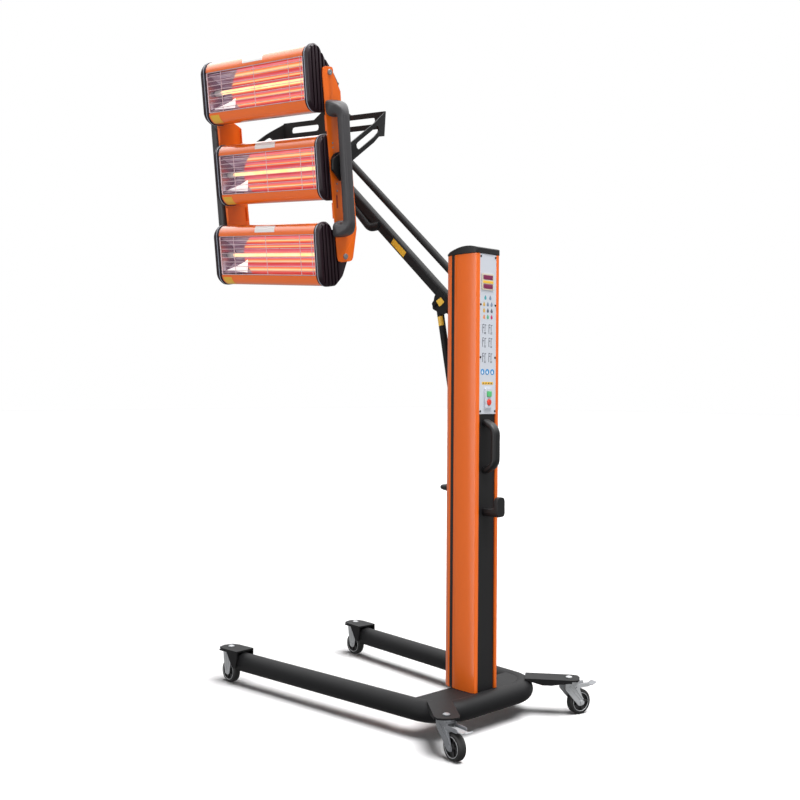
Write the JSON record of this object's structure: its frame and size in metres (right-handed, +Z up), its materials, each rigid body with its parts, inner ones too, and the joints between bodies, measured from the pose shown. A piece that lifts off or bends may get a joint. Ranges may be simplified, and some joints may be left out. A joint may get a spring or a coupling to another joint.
{
  "type": "infrared paint curing lamp",
  "caption": "Wheeled stand with a lifting parallelogram arm that carries a tilting head of stacked infrared cassettes for drying paint.",
  "frame": {"origin": "middle of the bounding box on the floor", "axes": "+Z up, +Y the way the legs and the lift arm point, +X to the right of the operator behind the column"},
  "size_m": [0.754, 1.161, 1.9849],
  "materials": {
    "orange": "glossy orange powder coat",
    "black": "satin black powder coat",
    "plastic": "moulded black plastic",
    "zinc": "zinc-plated pressed steel",
    "rubber": "dark rubber tyre on a moulded centre",
    "silver": "satin silver panel foil",
    "green": "green key cap",
    "red": "red key cap",
    "reflector": "polished reflector",
    "glow": "glowing quartz tube with ceramic ends",
    "wire": "plated guard wire"
  },
  "bodies": {
    "root": {"base_tube": "black", "base_plate": "black", "outrigger_left": "black", "outrigger_right": "black", "leg_bracket_left": "black", "leg_bracket_right": "black", "front_left_fork": "zinc", "front_right_fork": "zinc", "column_profile": "orange", "column_cap": "plastic", "control_panel": "silver", "rear_cover": "plastic", "display_window": "plastic", "switch_frame": "plastic", "grab_handle": "plastic", "cable_hook": "plastic", "cord_gland": "plastic", "inner_frame": "zinc"},
    "front_left_wheel": {"front_left_wheel": "rubber"},
    "front_right_wheel": {"front_right_wheel": "rubber"},
    "rear_left_caster": {"rear_left_fork": "zinc"},
    "rear_right_caster": {"rear_right_fork": "zinc"},
    "rear_left_wheel": {"rear_left_wheel": "rubber"},
    "rear_right_wheel": {"rear_right_wheel": "rubber"},
    "rear_left_pedal": {"rear_left_brake_pedal": "zinc"},
    "rear_right_pedal": {"rear_right_brake_pedal": "zinc"},
    "start_button": {"start_button": "green"},
    "stop_button": {"stop_button": "red"},
    "arm": {"main_arm": "black", "strut_bracket": "black", "arm_conduit": "black"},
    "tie": {"tie_rod": "black"},
    "knuckle": {"knuckle": "black"},
    "strut_cylinder": {"strut_cylinder": "black"},
    "strut_rod": {"strut_rod": "zinc"},
    "yoke": {"yoke": "black", "tilt_bolt_right": "black", "tilt_bolt_left": "black"},
    "head": {"side_rail_left": "orange", "side_rail_right": "orange", "side_handle_left": "plastic", "side_handle_right": "plastic", "middle_housing": "orange", "middle_reflector": "reflector", "middle_infrared_tube": "glow", "middle_grille": "wire", "middle_cap_right": "plastic", "middle_cap_left": "plastic"},
    "top_cassette": {"top_housing": "orange", "top_reflector": "reflector", "top_infrared_tube": "glow", "top_grille": "wire", "top_cap_right": "plastic", "top_cap_left": "plastic"},
    "bottom_cassette": {"bottom_housing": "orange", "bottom_reflector": "reflector", "bottom_infrared_tube": "glow", "bottom_grille": "wire", "bottom_cap_right": "plastic", "bottom_cap_left": "plastic"}
  },
  "joints": [
    {"name": "arm_lift", "type": "hinge", "parent": "root", "child": "arm", "pos_m": [0.02465, -0.32704, 1.13698], "axis": [1, 0, 0], "range_deg": [-38, 5]},
    {"name": "tie_swing", "type": "hinge", "parent": "root", "child": "tie", "pos_m": [0.02465, -0.32704, 1.22898], "axis": [1, 0, 0], "range_deg": [-38, 5]},
    {"name": "knuckle_level", "type": "hinge", "parent": "arm", "child": "knuckle", "pos_m": [0.02465, 0.24797, 1.63332], "axis": [1, 0, 0], "range_deg": [-5, 40]},
    {"name": "strut_swing", "type": "hinge", "parent": "arm", "child": "strut_cylinder", "pos_m": [0.02465, -0.20004, 1.20428], "axis": [1, 0, 0], "range_deg": [-5, 36]},
    {"name": "strut_stroke", "type": "slide", "parent": "strut_cylinder", "child": "strut_rod", "axis": [0, -0.1998, -0.9798], "range_m": [-0.092, 0.012]},
    {"name": "head_swivel", "type": "hinge", "parent": "knuckle", "child": "yoke", "pos_m": [0.02465, 0.28174, 1.78258], "axis": [0, -0.0767, 0.9971], "range_deg": [-196, 8]},
    {"name": "head_tilt", "type": "hinge", "parent": "yoke", "child": "head", "pos_m": [-0.20871, 0.26722, 1.64502], "axis": [-0.1066, 0.9914, 0.0763], "range_deg": [-25, 30]},
    {"name": "top_cassette_tilt", "type": "hinge", "parent": "head", "child": "top_cassette", "pos_m": [-0.26342, 0.24194, 1.89719], "axis": [-0.1066, 0.9914, 0.0763], "range_deg": [-12, 15]},
    {"name": "bottom_cassette_tilt", "type": "hinge", "parent": "head", "child": "bottom_cassette", "pos_m": [-0.15264, 0.29419, 1.37286], "axis": [-0.1066, 0.9914, 0.0763], "range_deg": [-15, 12]},
    {"name": "rear_left_swivel", "type": "hinge", "parent": "root", "child": "rear_left_caster", "pos_m": [-0.23534, -0.48704, -0.00072], "axis": [0, 0, 1], "continuous": true},
    {"name": "rear_left_roll", "type": "hinge", "parent": "rear_left_caster", "child": "rear_left_wheel", "pos_m": [-0.24022, -0.5217, 0.03678], "axis": [-0.9903, 0.1392, 0], "continuous": true},
    {"name": "rear_left_brake", "type": "hinge", "parent": "rear_left_caster", "child": "rear_left_pedal", "pos_m": [-0.23729, -0.50091, 0.08226], "axis": [-0.9903, 0.1392, 0], "range_deg": [-12, 0]},
    {"name": "rear_right_swivel", "type": "hinge", "parent": "root", "child": "rear_right_caster", "pos_m": [0.28465, -0.48704, -0.00072], "axis": [0, 0, 1], "continuous": true},
    {"name": "rear_right_roll", "type": "hinge", "parent": "rear_right_caster", "child": "rear_right_wheel", "pos_m": [0.3183, -0.49669, 0.03678], "axis": [-0.2756, -0.9613, 0], "continuous": true},
    {"name": "rear_right_brake", "type": "hinge", "parent": "rear_right_caster", "child": "rear_right_pedal", "pos_m": [0.29811, -0.4909, 0.08226], "axis": [-0.2756, -0.9613, 0], "range_deg": [-12, 0]},
    {"name": "front_left_roll", "type": "hinge", "parent": "root", "child": "front_left_wheel", "pos_m": [-0.24335, 0.46996, 0.03678], "axis": [1, 0, 0], "continuous": true},
    {"name": "front_right_roll", "type": "hinge", "parent": "root", "child": "front_right_wheel", "pos_m": [0.29265, 0.46996, 0.03678], "axis": [1, 0, 0], "continuous": true},
    {"name": "start_press", "type": "slide", "parent": "root", "child": "start_button", "axis": [0, 1, 0], "range_m": [0, 0.003], "stiffness_N_per_m": 400},
    {"name": "stop_press", "type": "slide", "parent": "root", "child": "stop_button", "axis": [0, 1, 0], "range_m": [0, 0.003], "stiffness_N_per_m": 400}
  ],
  "couplings": [
    {"joint": "tie_swing", "follows": "arm_lift", "ratio": 1},
    {"joint": "knuckle_level", "follows": "arm_lift", "ratio": -1},
    {"joint": "strut_swing", "follows": "arm_lift", "ratio": -0.8806},
    {"joint": "strut_stroke", "follows": "arm_lift", "m_per_rad": 0.12857}
  ]
}
